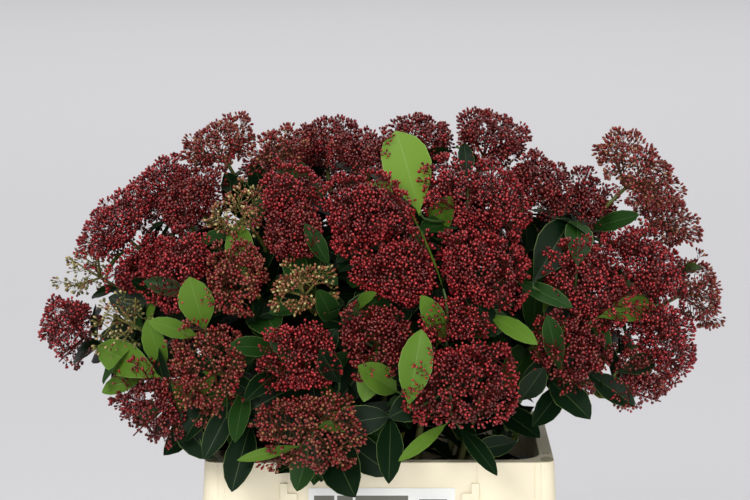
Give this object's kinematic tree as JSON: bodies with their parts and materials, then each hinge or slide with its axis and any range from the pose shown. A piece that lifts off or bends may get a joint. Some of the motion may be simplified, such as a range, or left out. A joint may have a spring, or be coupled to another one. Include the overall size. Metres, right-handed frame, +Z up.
{
  "type": "container of cut skimmia",
  "caption": "Cream plastic market container with a hanging skirt and a blank label card, filled with cut skimmia: a wide dome of dark red bud panicles over whorls of leathery green leaves.",
  "frame": {"origin": "middle of the container's flat underside", "axes": "+Z up, +X across the container's front, -Y out of the front that carries the label card"},
  "size_m": [0.7587, 0.5354, 0.7041],
  "materials": {
    "container": "satin moulded polypropylene, cream",
    "label_card": "matt white card",
    "stem": "smooth green bark",
    "spray_crimson": "small glossy red buds over leathery leaves",
    "spray_wine": "small dark red buds over leathery leaves",
    "spray_rust": "small rust brown buds over leathery leaves",
    "spray_tan": "small cream and tan buds over leathery leaves",
    "spray_olive": "small yellow green buds over leathery leaves"
  },
  "bodies": {
    "root": {"container": "container", "label_card": "label_card", "stem_01": "stem", "stem_02": "stem", "stem_03": "stem", "stem_04": "stem", "stem_05": "stem", "stem_06": "stem", "stem_07": "stem", "stem_08": "stem", "stem_09": "stem", "stem_10": "stem", "stem_11": "stem", "stem_12": "stem", "stem_13": "stem", "stem_14": "stem", "stem_15": "stem", "stem_16": "stem", "stem_17": "stem", "stem_18": "stem", "stem_19": "stem", "stem_20": "stem", "spray_01": "spray_rust", "spray_02": "spray_crimson", "spray_03": "spray_crimson", "spray_04": "spray_olive", "spray_05": "spray_wine", "spray_06": "spray_rust", "spray_07": "spray_wine", "spray_08": "spray_wine", "spray_09": "spray_crimson", "spray_10": "spray_crimson", "spray_11": "spray_wine", "spray_12": "spray_rust", "spray_13": "spray_crimson", "spray_14": "spray_crimson", "spray_15": "spray_crimson", "spray_16": "spray_crimson", "spray_17": "spray_crimson", "spray_18": "spray_wine", "spray_19": "spray_tan", "spray_20": "spray_rust", "spray_21": "spray_crimson", "spray_22": "spray_rust", "spray_23": "spray_crimson", "spray_24": "spray_crimson", "spray_25": "spray_crimson", "spray_26": "spray_crimson", "spray_27": "spray_crimson", "spray_28": "spray_crimson", "spray_29": "spray_wine", "spray_30": "spray_tan", "spray_31": "spray_rust", "spray_32": "spray_crimson", "spray_33": "spray_rust", "spray_34": "spray_crimson"}
  },
  "joints": []
}
